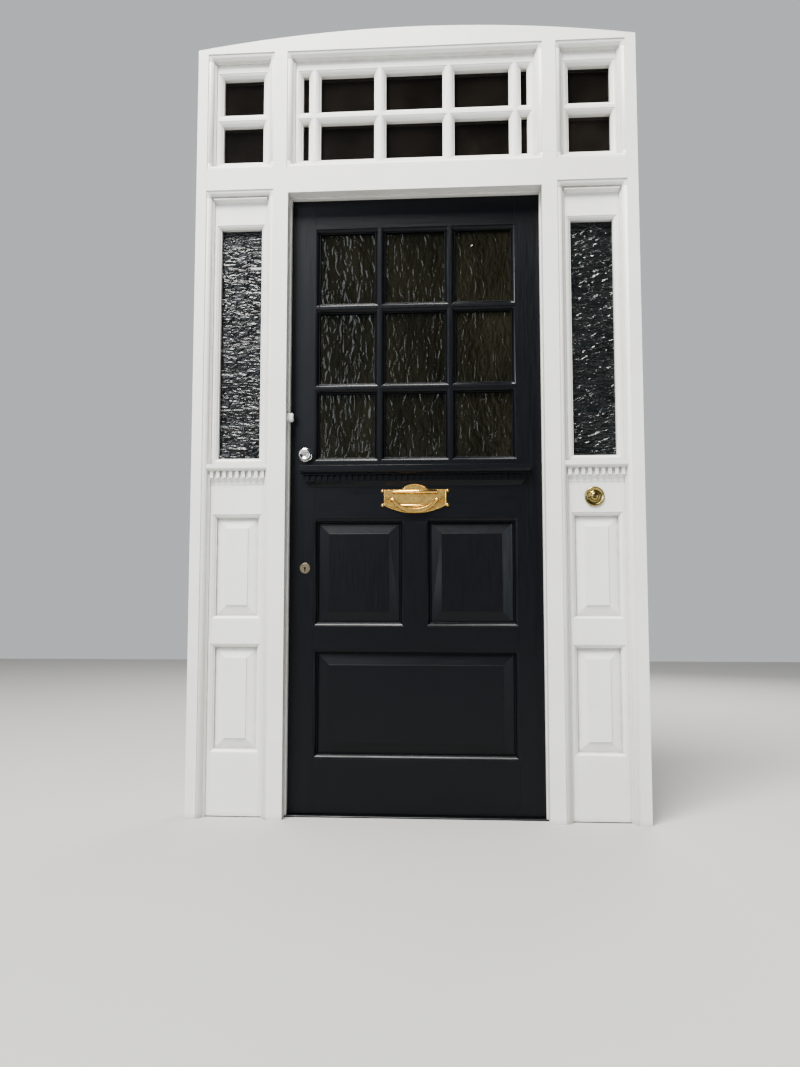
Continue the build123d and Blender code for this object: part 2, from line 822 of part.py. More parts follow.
# Cylinder pull: a rose on the door, a waist, and a rolled rim round the key plug
def latch():
    x, z = latch_at
    f = leaf_front
    bore = plug_radius + running
    nodes["latch_pull"] = turned(x, z, [
        (bore, back - 2), (15.5, back - 2), (15.5, f), (23, f), (23, f - 2), (19, f - 4.5), (15, f - 5),
        (12.9, f - 8), (12.6, f - 11.5), (15.5, f - 15), (19.6, f - 18), (20, f - 20.5), (18.6, f - 23.2),
        (15, f - 25), (9, f - 21.5), (bore, f - 21.5),
    ])
    plug = rod((x, f - 22.5, z), (x, back - 1, z), plug_radius)
    plug -= block(x - 4.5, x + 4.5, f - 23, f - 8, z - 0.8, z + 0.8)
    plug += block(x - 4, x + 4, back - 2, back + 13.5, z - 1, z + 1)
    nodes["cylinder_plug"] = plug


def latch_case():
    x, z = latch_at
    y0, y1 = back, back + case_depth
    edge = -leaf_half
    end = edge + case_length
    wall = case_wall
    case = block(edge, end, y0, y1, z - keep_height, z + keep_height)
    case = chamfer(case.faces().sort_by(Axis.Y)[-1].edges(), 2)
    case -= block(edge + wall, end - wall, y0 - 1, y1 - wall, z - keep_height + wall, z + keep_height - wall)
    case -= block(edge - 1, edge + wall + 1, y0 + 5.8, y0 + 20.2, z - 10.2, z + 10.2)
    case -= rod((x, y1 - wall - 1, z), (x, y1 + 1, z), 5 + running)
    nodes["nightlatch_case"] = case
    keep_edge = -wall_half
    keep = block(keep_edge - keep_length, keep_edge, y0, y1, z - keep_height, z + keep_height)
    keep = chamfer(keep.faces().sort_by(Axis.Y)[-1].edges(), 2)
    keep -= block(keep_edge - latch_throw - 6, keep_edge + 1, y0 + 4, y0 + 22, z - 12, z + 12)
    nodes["nightlatch_keep"] = keep


# Sprung bolt: a bevelled head, and a tail whose two lugs stand each side of the cam's pin
def nightlatch_bolt():
    x, z = latch_at
    edge = -leaf_half
    y = back + 6
    head = block(edge + 0.5, edge + 40, y, y + 14, z - 10, z + 10)
    nose = outline([(edge - 5, y - 1), (edge + 3, y - 1), (edge + 0.5, y + 3), (edge - 5, y + 3)])
    head -= along_z(nose, z - 11, z + 11)
    tail = block(edge + 40, edge + 76, y, y + 2.5, z - 17, z - 5)
    pin_x = x + cam_arm / 2
    lugs = [block(x0, x0 + 4, y + 2.5, y + 7.5, z - 17, z - 5) for x0 in (pin_x - 7, pin_x + 3)]
    nodes["nightlatch_bolt"] = pieces(head, tail, *lugs)


# Turn knob with its shaft, the cam across the shaft's end and the pin that drives the bolt
def nightlatch_knob():
    x, z = latch_at
    seat = back + 19
    face = back + case_depth + clear
    knob = turned(x, z, [
        (0, seat), (9, seat), (9, seat + 3), (5, seat + 3), (5, face), (13, face), (13, face + 3),
        (11.8, face + 6), (12.4, face + 11), (15, face + 13), (16.4, face + 15.5), (16, face + 18.5),
        (13, face + 20.3), (0, face + 21),
    ])
    arm = block(-2.5, 2.5, seat - 3, seat, -cam_arm - 2.5, 7)
    pin = rod((0, seat - 9.7, -cam_arm), (0, seat - 3, -cam_arm), 2.5)
    turn = Pos(x, 0, z) * Rot(0, -cam_turn / 2, 0)
    nodes["nightlatch_knob"] = pieces(knob, turn * arm, turn * pin)


# Lock case of folded plate, with its stump, its levers and the forend let into the door's edge
def mortice_case():
    x, z = lock_at
    start = forend_thickness - leaf_half
    end = lock_case_depth - leaf_half
    m = leaf_middle
    outer, inner = lock_case_half, lock_case_half - lock_case_wall
    low, high = z - 59, z + 39
    key = rod((x, m - outer - 1, z), (x, m + outer + 1, z), 4)
    key += block(x - 1.5, x + 1.5, m - outer - 1, m + outer + 1, z - 12, z)
    sides = [block(start, end, y, y + lock_case_wall, low, high) - key for y in (m - outer, m + inner)]
    wall = lock_case_wall
    rims = [block(start, end, m - inner, m + inner, edge, edge + wall) for edge in (low, high - wall)]
    rear = block(end - wall, end, m - inner, m + inner, low + wall, high - wall)
    forend = block(-leaf_half, start, m - forend_half, m + forend_half, z - forend_drop, z + forend_rise)
    wide, tall = bolt_side + 0.1, bolt_half + 0.1
    bolt_z = z + bolt_rise
    forend -= block(-leaf_half - 1, start + 1, m - wide, m + wide, bolt_z - tall, bolt_z + tall)
    stump_at = (end - 14, z + 26)
    stump = rod((stump_at[0], m - inner, stump_at[1]), (stump_at[0], m + inner, stump_at[1]), 3)
    levers = block(end - 46, end - 6, m - 0.5, m + 5, z + 22, z + 34) - stump
    nodes["mortice_case"] = pieces(*sides, *rims, rear, forend, stump, levers)


def mortice_bolt():
    z = lock_level + bolt_rise
    m = leaf_middle
    head = block(0.5 - leaf_half, 32 - leaf_half, m - bolt_side, m + bolt_side, z - bolt_half, z + bolt_half)
    tail = block(32 - leaf_half, 56 - leaf_half, m - bolt_side, m - 1, z, z + bolt_half)
    nodes["mortice_bolt"] = head + tail
    plate, hole = lock_pocket()
    nodes["mortice_keep"] = plate - hole


def escutcheons():
    x, z = lock_at
    key = rod((x, leaf_front - 9, z), (x, back + 9, z), 3.4)
    key += block(x - 1.5, x + 1.5, leaf_front - 9, back + 9, z - 11, z)
    rings = []
    for face, out in ((leaf_front, -1), (back, 1)):
        edge, top = face + 1.5 * out, face + 3 * out
        ring = turned(x, z, [(0, face), (17.2, face), (17.2, edge), (15.6, top), (0, top)])
        rings.append(ring - key)
    nodes["escutcheons"] = pieces(*rings)


# Bell: a dished ring round its button, and the closed switch behind
def bell():
    x, z = bell_at
    f = sash_front
    edge = bell_radius
    bore = edge - 18.2
    head = bore - 0.3
    nodes["bell_plate"] = turned(x, z, [
        (bore, f), (edge, f), (edge, f - 2.5), (edge - 1.5, f - 5), (edge - 3.5, f - 5.5),
        (edge - 9, f - 3.4), (edge - 13, f - 3.2), (edge - 15, f - 5.6), (bore, f - 6),
    ])
    nodes["bell_button"] = turned(x, z, [
        (0, f - 0.2), (8, f - 0.2), (8, f - 2.5), (head, f - 2.5), (head, f - 6), (head - 1.2, f - 7.8),
        (head - 4, f - 9), (0, f - 9.6),
    ])
    body = rod((x, f + 3, z), (x, sash_back - 4, z), bell_body)
    flange = block(x - 3, x + 3, f + 1.8, f + 3, z - 3, z + 3)
    nodes["bell_contact"] = body + flange


def hinges():
    plates, leaves = [], []
    x, y = leaf_half + side_gap / 2, back + hinge_stand
    part = hinge_length / 5
    y0 = back - hinge_width
    for level in hinge_levels:
        low = level - hinge_length / 2
        high = low + hinge_length
        bore = rod((x, y, low - 1), (x, y, high + 1), pin_radius + running)
        fixed = block(wall_half, wall_half + hinge_plate, y0, back, low, high)
        swing = block(leaf_half - hinge_plate, leaf_half, y0, back, low, high)
        for number in range(5):
            z0, z1 = low + number * part + knuckle_gap, low + (number + 1) * part - knuckle_gap
            knuckle = rod((x, y, z0), (x, y, z1), knuckle_radius)
            if number % 2 == 0:
                fixed += (block(wall_half, wall_half + hinge_plate, back, y, z0, z1) + knuckle) - bore
            else:
                swing += block(leaf_half - hinge_plate, leaf_half, back, y, z0, z1) + knuckle
        pin = rod((x, y, low - 2), (x, y, high + 2), pin_radius)
        for z0 in (low - 4, high + 0.5):
            pin += rod((x, y, z0), (x, y, z0 + 3.5), pin_radius * 1.5)
        plates.append(fixed)
        leaves += [swing - pin, pin]
    nodes["hinge_frame_plates"] = pieces(*plates)
    nodes["hinge_leaf_plates"] = pieces(*leaves)


def post_stud():
    proud, depth, height = stud_size
    y = front + 20
    low, high = stud_level - height / 2, stud_level + height / 2
    stem = block(-reveal_half, proud - reveal_half, y, y + depth, low, high)
    stem = fillet(stem.edges().filter_by(Axis.X), depth * 0.44)
    stem = chamfer(stem.faces().sort_by(Axis.X)[-1].edges(), depth / 6)
    nodes["post_stud"] = stem


nodes = {}
outer_frame()
door_surround()
bed_beads()
sidelight()
overlights()
leaf()
dentil_shelf()
sidelight_dentils()
letter_plate()
letter_flap()
clapper()
inner_cover()
latch()
latch_case()
nightlatch_bolt()
nightlatch_knob()
mortice_case()
mortice_bolt()
escutcheons()
bell()
hinges()
post_stud()

os.makedirs("parts", exist_ok=True)
for name, shape in nodes.items():
    export_step(shape, "parts/" + name + ".step")
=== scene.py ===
import bmesh
import bpy
from math import pi
from mathutils import Matrix, Vector


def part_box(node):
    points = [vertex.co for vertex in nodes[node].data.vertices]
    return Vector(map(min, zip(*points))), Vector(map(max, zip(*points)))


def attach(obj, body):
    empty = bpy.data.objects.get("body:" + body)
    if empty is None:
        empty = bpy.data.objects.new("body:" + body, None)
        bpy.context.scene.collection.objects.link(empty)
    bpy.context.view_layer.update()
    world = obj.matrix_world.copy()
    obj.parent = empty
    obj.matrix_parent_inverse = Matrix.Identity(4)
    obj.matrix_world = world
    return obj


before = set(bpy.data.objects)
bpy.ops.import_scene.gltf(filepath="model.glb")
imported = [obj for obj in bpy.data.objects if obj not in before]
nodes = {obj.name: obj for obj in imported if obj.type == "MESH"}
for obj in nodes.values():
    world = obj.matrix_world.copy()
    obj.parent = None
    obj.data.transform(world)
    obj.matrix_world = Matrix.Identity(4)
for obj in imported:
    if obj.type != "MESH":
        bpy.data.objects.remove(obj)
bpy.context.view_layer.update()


# Node helpers

def newMaterial(name):
    material = bpy.data.materials.new(name)
    material.use_nodes = True
    tree = material.node_tree
    return material, tree, tree.nodes["Principled BSDF"]


def addNode(tree, kind, **values):
    node = tree.nodes.new(kind)
    for key, value in values.items():
        if key in node.inputs:
            node.inputs[key].default_value = value
        else:
            setattr(node, key, value)
    return node


def placedPattern(tree, scale):
    coords = addNode(tree, "ShaderNodeTexCoord")
    mapping = addNode(tree, "ShaderNodeMapping", Scale=scale)
    tree.links.new(coords.outputs["Object"], mapping.inputs["Vector"])
    return mapping.outputs["Vector"]


def noiseAt(tree, vector, size, detail, rough, warp=0.0):
    noise = addNode(tree, "ShaderNodeTexNoise", Scale=size, Detail=detail, Roughness=rough, Distortion=warp)
    tree.links.new(vector, noise.inputs["Vector"])
    return noise.outputs["Fac"]


def spread(tree, value, low, high, fromLow=0.3, fromHigh=0.7):  # noise mostly lies between 0.3 and 0.7
    node = addNode(tree, "ShaderNodeMapRange")
    node.inputs["From Min"].default_value = fromLow
    node.inputs["From Max"].default_value = fromHigh
    node.inputs["To Min"].default_value = low
    node.inputs["To Max"].default_value = high
    tree.links.new(value, node.inputs["Value"])
    return node.outputs["Result"]


def mixColour(tree, factor, first, second):
    mix = addNode(tree, "ShaderNodeMix", data_type="RGBA")
    tree.links.new(factor, mix.inputs[0])
    for socket, value in ((mix.inputs[6], first), (mix.inputs[7], second)):
        if isinstance(value, tuple):
            socket.default_value = (*value, 1)
        else:
            tree.links.new(value, socket)
    return mix.outputs[2]


cornerShadeLook = {"samples": 6, "shut": 0.25, "open": 0.95}


# Painted shade: an ambient-occlusion mask that lays colour into corners, grooves and recesses, where shade
# falls.
def paintedCornerShade(tree, reach, share):
    cornerOcclusion = addNode(tree, "ShaderNodeAmbientOcclusion", samples=cornerShadeLook["samples"])
    cornerOcclusion.inputs["Distance"].default_value = reach
    return spread(tree, cornerOcclusion.outputs["AO"], share, 0.0, cornerShadeLook["shut"], cornerShadeLook["open"])


def addBump(tree, shader, heights):
    normal = None
    for height, strength, distance in heights:
        bump = addNode(tree, "ShaderNodeBump", Strength=strength, Distance=distance)
        tree.links.new(height, bump.inputs["Height"])
        if normal:
            tree.links.new(normal, bump.inputs["Normal"])
        normal = bump.outputs["Normal"]
    tree.links.new(normal, shader.inputs["Normal"])


# Paint

paintLook = {
    "white": {
        "colour": (0.79, 0.785, 0.76),
        "stain": (0.68, 0.66, 0.60),
        # The corner colour is laid in by the occlusion mask: painted shade darkening the white's grooves
        # and corners, paler grime in the black's corners.
        "grimeAndShade": (0.26, 0.22, 0.165),
        "grimeAndShadeShare": 0.70,
        "cornerShadeReach": 0.020,
        "rough": (0.34, 0.48),
        "brushHeight": 0.00022,
        "shine": 0.5,
    },
    "black": {
        "colour": (0.0020, 0.0027, 0.0044),
        "stain": (0.0038, 0.0048, 0.0070),
        "grimeAndShade": (0.020, 0.019, 0.018),
        "grimeAndShadeShare": 0.25,
        "cornerShadeReach": 0.012,
        "rough": (0.30, 0.42),
        "brushHeight": 0.00018,
        "shine": 0.33,
    },
}
paintGrain = {
    "along": 3.0,
    "across": 90.0,
    "strokes": {"size": 4.0, "detail": 5.0, "rough": 0.6},
    "strokeStrength": 0.6,
    "specks": {"size": 140.0, "detail": 2.0, "rough": 0.5},
    "speckStrength": 0.25,
    "stains": {"size": 2.6, "detail": 6.0, "rough": 0.62},
    "stainRange": (0.42, 0.72),
    "stainShare": 0.55,
    "dust": {"size": 34.0, "detail": 6.0, "rough": 0.7},
    "leastDust": 0.3,
}


def brushedPaint(name, look, grain):
    material, tree, shader = newMaterial(name)
    brushing = tuple(paintGrain["along" if axis == grain else "across"] for axis in "xyz")
    plain = placedPattern(tree, (1, 1, 1))
    strokes = noiseAt(tree, placedPattern(tree, brushing), **paintGrain["strokes"])
    specks = noiseAt(tree, plain, **paintGrain["specks"])
    stains = noiseAt(tree, plain, **paintGrain["stains"])
    dust = noiseAt(tree, plain, **paintGrain["dust"])
    stained = spread(tree, stains, 0.0, paintGrain["stainShare"], *paintGrain["stainRange"])
    colour = mixColour(tree, stained, look["colour"], look["stain"])
    # Painted shade in corners and grooves, varied in strength by the dust noise, mixes in the corner
    # colour.
    cornerShadeAndDust = addNode(tree, "ShaderNodeMath", operation="MULTIPLY")
    tree.links.new(paintedCornerShade(tree, look["cornerShadeReach"], look["grimeAndShadeShare"]), cornerShadeAndDust.inputs[0])
    tree.links.new(spread(tree, dust, paintGrain["leastDust"], 1.0), cornerShadeAndDust.inputs[1])
    tree.links.new(mixColour(tree, cornerShadeAndDust.outputs[0], colour, look["grimeAndShade"]), shader.inputs["Base Color"])
    tree.links.new(spread(tree, strokes, *look["rough"]), shader.inputs["Roughness"])
    height = look["brushHeight"]
    strokeBump = (strokes, paintGrain["strokeStrength"], height)
    speckBump = (specks, paintGrain["speckStrength"], height)
    addBump(tree, shader, [strokeBump, speckBump])
    shader.inputs["Specular IOR Level"].default_value = look["shine"]
    return material


whiteUpright = brushedPaint("whitePaintUpright", paintLook["white"], "z")
whiteLevel = brushedPaint("whitePaintLevel", paintLook["white"], "x")
blackUpright = brushedPaint("blackPaintUpright", paintLook["black"], "z")
blackLevel = brushedPaint("blackPaintLevel", paintLook["black"], "x")
print("paint ready")


# Glass

glassLook = {
    "sidelight": {
        "tint": (0.006, 0.007, 0.007),
        "cell": 38.0,
        "stretch": (0.60, 1.0, 1.6),
        "height": 0.0085,
        "fine": 0.4,
        "shine": 0.34,
        "rough": (0.16, 0.24),
    },
    "leaf": {
        "tint": (0.010, 0.0095, 0.0058),
        "cell": 46.0,
        "stretch": (1.0, 1.0, 0.38),
        "height": 0.0032,
        "fine": 0.3,
        "shine": 0.15,
        "rough": (0.05, 0.10),
    },
    "overlight": {
        "tint": (0.008, 0.0068, 0.0055),
        "cell": 42.0,
        "stretch": (0.9, 1.0, 0.7),
        "height": 0.0004,
        "fine": 0.2,
        "shine": 0.25,
        "rough": (0.02, 0.06),
    },
}
glassGrain = {
    "ripples": {"detail": 1.5, "rough": 0.4, "warp": 1.6},
    "waves": {"detail": 1.0, "rough": 0.4, "warp": 0.6},
    "waveCells": 0.35,
    "waveStrength": 0.6,
    "seeds": {"detail": 1.0, "rough": 0.4},
    "seedCells": 3.5,
    "seedHeight": 0.12,
    "murk": {"size": 9.0, "detail": 3.0, "rough": 0.5},
    "murkTint": 2.2,
    "bend": 1.5,  # index of refraction
    "clear": 0.3,  # share of the light let through
}


def obscureGlass(name, look):
    material, tree, shader = newMaterial(name)
    pattern = placedPattern(tree, look["stretch"])
    cell = look["cell"]
    ripples = noiseAt(tree, pattern, cell, **glassGrain["ripples"])
    waves = noiseAt(tree, pattern, cell * glassGrain["waveCells"], **glassGrain["waves"])
    seeds = noiseAt(tree, pattern, cell * glassGrain["seedCells"], **glassGrain["seeds"])
    murk = noiseAt(tree, pattern, **glassGrain["murk"])
    murkTint = tuple(c * glassGrain["murkTint"] for c in look["tint"])
    colour = mixColour(tree, spread(tree, murk, 0.0, 1.0), look["tint"], murkTint)
    tree.links.new(colour, shader.inputs["Base Color"])
    tree.links.new(spread(tree, murk, *look["rough"]), shader.inputs["Roughness"])
    shader.inputs["IOR"].default_value = glassGrain["bend"]
    shader.inputs["Transmission Weight"].default_value = glassGrain["clear"]
    shader.inputs["Specular IOR Level"].default_value = look["shine"]
    height = look["height"]
    waveBump = (waves, glassGrain["waveStrength"], height)
    seedBump = (seeds, look["fine"], height * glassGrain["seedHeight"])
    addBump(tree, shader, [waveBump, (ripples, 1.0, height), seedBump])
    return material


sidelightGlass = obscureGlass("sidelightGlass", glassLook["sidelight"])
leafGlass = obscureGlass("leafGlass", glassLook["leaf"])
overlightGlass = obscureGlass("overlightGlass", glassLook["overlight"])
print("glass ready")


# Metal

# Each metal's second colour marks random tarnish blotches and is also painted as shade into corners and
# recesses by the occlusion mask.
metalLook = {
    "polishedBrass": {
        "colour": (0.90, 0.60, 0.21),
        "tarnishAndShade": (0.17, 0.085, 0.022),
        "rough": (0.13, 0.27),
        "wear": 0.30,
        "reach": 0.008,
    },
    "dullBrass": {
        "colour": (0.25, 0.215, 0.15),
        "tarnishAndShade": (0.10, 0.082, 0.056),
        "rough": (0.34, 0.55),
        "wear": 0.7,
        "reach": 0.005,
    },
    "bellBrass": {
        "colour": (0.46, 0.36, 0.15),
        "tarnishAndShade": (0.05, 0.036, 0.014),
        "rough": (0.12, 0.30),
        "wear": 0.55,
        "reach": 0.011,
    },
    "chromePlate": {
        "colour": (0.74, 0.74, 0.73),
        "tarnishAndShade": (0.26, 0.25, 0.23),
        "rough": (0.10, 0.26),
        "wear": 0.35,
        "reach": 0.005,
    },
    "satinNickel": {
        "colour": (0.46, 0.43, 0.38),
        "tarnishAndShade": (0.22, 0.19, 0.15),
        "rough": (0.24, 0.42),
        "wear": 0.4,
        "reach": 0.005,
    },
    "brushedSteel": {
        "colour": (0.50, 0.50, 0.49),
        "tarnishAndShade": (0.24, 0.23, 0.21),
        "rough": (0.30, 0.48),
        "wear": 0.4,
        "reach": 0.005,
    },
}
metalGrain = {
    "blotches": {"size": 65.0, "detail": 6.0, "rough": 0.6, "warp": 0.3},
    "blotchRange": (0.42, 0.72),
    "blotchStrength": 0.2,
    "blotchHeight": 0.00015,
    "scratches": {"size": 1.0, "detail": 3.0, "rough": 0.5},
    "scratchScale": (40, 900, 900),
    "scratchStrength": 0.25,
    "scratchHeight": 0.00006,
    "cornerShadeShare": 0.9,
}


def wornMetal(name, look):
    material, tree, shader = newMaterial(name)
    blotches = noiseAt(tree, placedPattern(tree, (1, 1, 1)), **metalGrain["blotches"])
    scratches = noiseAt(tree, placedPattern(tree, metalGrain["scratchScale"]), **metalGrain["scratches"])
    # Painted shade in corners and recesses, joined with the random tarnish blotches.
    tarnishAndShadeMask = addNode(tree, "ShaderNodeMath", operation="MAXIMUM")
    worn = spread(tree, blotches, 0.0, look["wear"], *metalGrain["blotchRange"])
    tree.links.new(worn, tarnishAndShadeMask.inputs[0])
    tree.links.new(paintedCornerShade(tree, look["reach"], metalGrain["cornerShadeShare"]), tarnishAndShadeMask.inputs[1])
    colour = mixColour(tree, tarnishAndShadeMask.outputs[0], look["colour"], look["tarnishAndShade"])
    tree.links.new(colour, shader.inputs["Base Color"])
    tree.links.new(spread(tree, blotches, *look["rough"]), shader.inputs["Roughness"])
    shader.inputs["Metallic"].default_value = 1.0
    scratchBump = (scratches, metalGrain["scratchStrength"], metalGrain["scratchHeight"])
    blotchBump = (blotches, metalGrain["blotchStrength"], metalGrain["blotchHeight"])
    addBump(tree, shader, [scratchBump, blotchBump])
    return material


metals = {name: wornMetal(name, look) for name, look in metalLook.items()}

enamelLook = {
    "blackEnamel": {"colour": (0.02, 0.02, 0.021), "rough": 0.38},
    "switchPlastic": {"colour": (0.035, 0.035, 0.037), "rough": 0.45},
}
enamelGrain = {
    "pits": {"size": 420.0, "detail": 3.0, "rough": 0.6},
    "pitStrength": 0.35,
    "pitHeight": 0.0003,
    "shadeShare": 0.5,
    "lighter": 1.7,
    "lift": 0.004,
    "roughRange": 0.12,
}


def enamel(name, look):
    material, tree, shader = newMaterial(name)
    pits = noiseAt(tree, placedPattern(tree, (1, 1, 1)), **enamelGrain["pits"])
    light = tuple(c * enamelGrain["lighter"] + enamelGrain["lift"] for c in look["colour"])
    shade = mixColour(tree, spread(tree, pits, 0.0, enamelGrain["shadeShare"]), look["colour"], light)
    tree.links.new(shade, shader.inputs["Base Color"])
    rough = spread(tree, pits, look["rough"], look["rough"] + enamelGrain["roughRange"])
    tree.links.new(rough, shader.inputs["Roughness"])
    addBump(tree, shader, [(pits, enamelGrain["pitStrength"], enamelGrain["pitHeight"])])
    return material


blackEnamel = enamel("blackEnamel", enamelLook["blackEnamel"])
switchPlastic = enamel("switchPlastic", enamelLook["switchPlastic"])
print("metal ready")


# Which finish each piece takes

finishes = {
    whiteUpright: [
        "jamb_left", "jamb_right", "post_left", "post_right", "mullion_left", "mullion_right", "door_stops",
        "sidelight_left_frame", "sidelight_right_frame", "sidelight_left_panels", "sidelight_right_panels",
        "sidelight_beads", "post_stud",
    ],
    whiteLevel: [
        "transom", "head", "bed_beads", "sidelight_left_dentils", "sidelight_right_dentils",
        "overlight_left_sash", "overlight_centre_sash", "overlight_right_sash", "overlight_beads",
    ],
    blackUpright: [
        "hinge_stile", "lock_stile", "muntin", "glazing_bars", "leaf_beads",
        "upper_panel_left", "upper_panel_right",
    ],
    blackLevel: [
        "top_rail", "lock_rail", "middle_rail", "bottom_rail", "lower_panel", "dentil_shelf",
        "threshold_strip",
    ],
    sidelightGlass: ["sidelight_glass"],
    leafGlass: ["leaf_glass"],
    overlightGlass: ["overlight_glass"],
    metals["polishedBrass"]: ["letter_plate", "letter_flap", "clapper", "inner_cover", "inner_flap"],
    metals["dullBrass"]: [
        "escutcheons", "nightlatch_bolt", "mortice_bolt", "hinge_frame_plates", "hinge_leaf_plates",
    ],
    metals["satinNickel"]: ["cylinder_plug"],
    metals["bellBrass"]: ["bell_plate", "bell_button"],
    metals["chromePlate"]: ["latch_pull", "nightlatch_knob"],
    metals["brushedSteel"]: ["mortice_case", "mortice_keep"],
    blackEnamel: ["nightlatch_case", "nightlatch_keep"],
    switchPlastic: ["bell_contact"],
}

for material, names in finishes.items():
    for name in names:
        node = nodes[name]
        node.data.materials.clear()
        node.data.materials.append(material)
print("finishes given")


# Softened edges: a weld joins the loose corners, then a small round is worked on every sharp edge

edgeWork = {
    "joinery": {"width": 0.0005, "steps": 2, "angle": 0.6},
    "metalwork": {"width": 0.0003, "steps": 2, "angle": 0.6},
    "turned": {"width": 0.0009, "steps": 3, "angle": 0.16},
}
weldGap = 0.00001
paints = (whiteUpright, whiteLevel, blackUpright, blackLevel)
painted = [name for paint in paints for name in finishes[paint]]
turnedNodes = ["latch_pull", "nightlatch_knob", "bell_plate", "escutcheons"]
plainMetal = [
    "letter_plate", "letter_flap", "clapper", "inner_cover", "inner_flap", "nightlatch_case",
    "nightlatch_keep", "nightlatch_bolt", "mortice_bolt", "mortice_keep", "bell_button",
]


def softenEdges(name, look):
    node = nodes[name]
    weld = node.modifiers.new("joinCorners", "WELD")
    weld.merge_threshold = weldGap
    bevel = node.modifiers.new("softEdge", "BEVEL")
    bevel.width = look["width"]
    bevel.segments = look["steps"]
    bevel.limit_method = "ANGLE"
    bevel.angle_limit = look["angle"]
    bevel.harden_normals = True


for names, look in ((painted, "joinery"), (plainMetal, "metalwork"), (turnedNodes, "turned")):
    for name in names:
        softenEdges(name, edgeWork[look])
print("edges softened")


# Brass screws, each a domed disc with its slot sunk

screwLook = {
    "sides": 20,
    "height": 0.0007,
    "rim": 0.14,  # as a share of the radius, as is the slot's half width
    "rimSteps": 2,
    "slotWidth": 0.16,
    "slotDepth": 0.0005,
    "firstTurn": 0.3,
    "nextTurn": 0.9,
    "radius": 0.0032,
    "sunk": 0.0002,
}
mergeGap = 0.000005


def pushFaces(shape, faces, way):
    pushed = bmesh.ops.extrude_face_region(shape, geom=faces)
    moved = [v for v in pushed["geom"] if isinstance(v, bmesh.types.BMVert)]
    bmesh.ops.translate(shape, verts=moved, vec=way)


def addScrew(shape, place, out, radius, turn):
    facing = Vector(out).to_track_quat("Z", "Y").to_matrix().to_4x4()
    spot = Matrix.Translation(place) @ facing @ Matrix.Rotation(turn, 4, "Z")
    disc = bmesh.new()
    bmesh.ops.create_circle(disc, cap_ends=True, segments=screwLook["sides"], radius=radius)
    pushFaces(disc, disc.faces[:], (0, 0, screwLook["height"]))
    rim = [e for e in disc.edges if all(v.co.z > screwLook["height"] / 2 for v in e.verts)]
    bmesh.ops.bevel(disc, geom=rim, offset=radius * screwLook["rim"], affect="EDGES",
                    segments=screwLook["rimSteps"], profile=0.5, material=-1)
    half = radius * screwLook["slotWidth"]
    for side in (-half, half):
        whole = disc.verts[:] + disc.edges[:] + disc.faces[:]
        bmesh.ops.bisect_plane(disc, geom=whole, plane_co=(side, 0, 0), plane_no=(1, 0, 0))
    slot = [f for f in disc.faces if abs(f.calc_center_median().x) < half and f.normal.z > 0.9]
    pushFaces(disc, slot, (0, 0, -screwLook["slotDepth"]))
    bmesh.ops.delete(disc, geom=slot, context="FACES")
    bmesh.ops.transform(disc, matrix=spot, verts=disc.verts)
    scrap = bpy.data.meshes.new("screw")
    disc.to_mesh(scrap)
    disc.free()
    shape.from_mesh(scrap)
    bpy.data.meshes.remove(scrap)


def finishPiece(name, shape, material, body):
    bmesh.ops.remove_doubles(shape, verts=shape.verts, dist=mergeGap)
    bmesh.ops.recalc_face_normals(shape, faces=shape.faces)
    mesh = bpy.data.meshes.new(name)
    shape.to_mesh(mesh)
    shape.free()
    mesh.materials.append(material)
    piece = bpy.data.objects.new(name, mesh)
    bpy.context.scene.collection.objects.link(piece)
    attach(piece, body)
    return piece


def screwSet(name, places, out, radius, material, body):
    shape = bmesh.new()
    for number, place in enumerate(places):
        turn = screwLook["nextTurn"] * number + screwLook["firstTurn"]
        addScrew(shape, place, out, radius, turn)
    return finishPiece(name, shape, material, body)


plateScrews = {  # how far the screws stand in from the sides and ends of each plate
    "case": {"side": 0.010, "end": 0.009},
    "latchKeep": {"side": 0.008, "end": 0.010},
    "cover": {"side": 0.008, "end": 0.009, "face": 0.0028, "radius": 0.0028},
    "morticeKeep": {"end": 0.012},
    "forend": {"end": 0.010},
}


def inFrom(low, high, gap):
    return low + gap, high - gap


def cornerSpots(low, high, look, y):
    return [(x, y, z) for x in inFrom(low[0], high[0], look["side"])
            for z in inFrom(low[2], high[2], look["end"])]


def edgeSpots(low, high, look, x):
    middle = (low[1] + high[1]) / 2
    return [(x, middle, z) for z in inFrom(low[2], high[2], look["end"])]


radius, sunk = screwLook["radius"], screwLook["sunk"]
low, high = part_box("nightlatch_case")
spots = cornerSpots(low, high, plateScrews["case"], high[1] - sunk)
screwSet("latchCaseScrews", spots, (0, 1, 0), radius, metals["dullBrass"], "leaf")
low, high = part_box("nightlatch_keep")
look = plateScrews["latchKeep"]
spots = [(low[0] + look["side"], high[1] - sunk, z) for z in inFrom(low[2], high[2], look["end"])]
screwSet("latchKeepScrews", spots, (0, 1, 0), radius, metals["dullBrass"], "frame")
low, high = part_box("inner_cover")
look = plateScrews["cover"]
spots = cornerSpots(low, high, look, low[1] + look["face"])
screwSet("innerCoverScrews", spots, (0, 1, 0), look["radius"],
         metals["polishedBrass"], "leaf")
low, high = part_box("mortice_keep")
spots = edgeSpots(low, high, plateScrews["morticeKeep"], high[0] - sunk)
screwSet("morticeKeepScrews", spots, (1, 0, 0), radius, metals["dullBrass"], "frame")
low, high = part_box("mortice_case")
spots = edgeSpots(low, high, plateScrews["forend"], low[0] + sunk)
screwSet("forendScrews", spots, (-1, 0, 0), radius, metals["dullBrass"], "leaf")

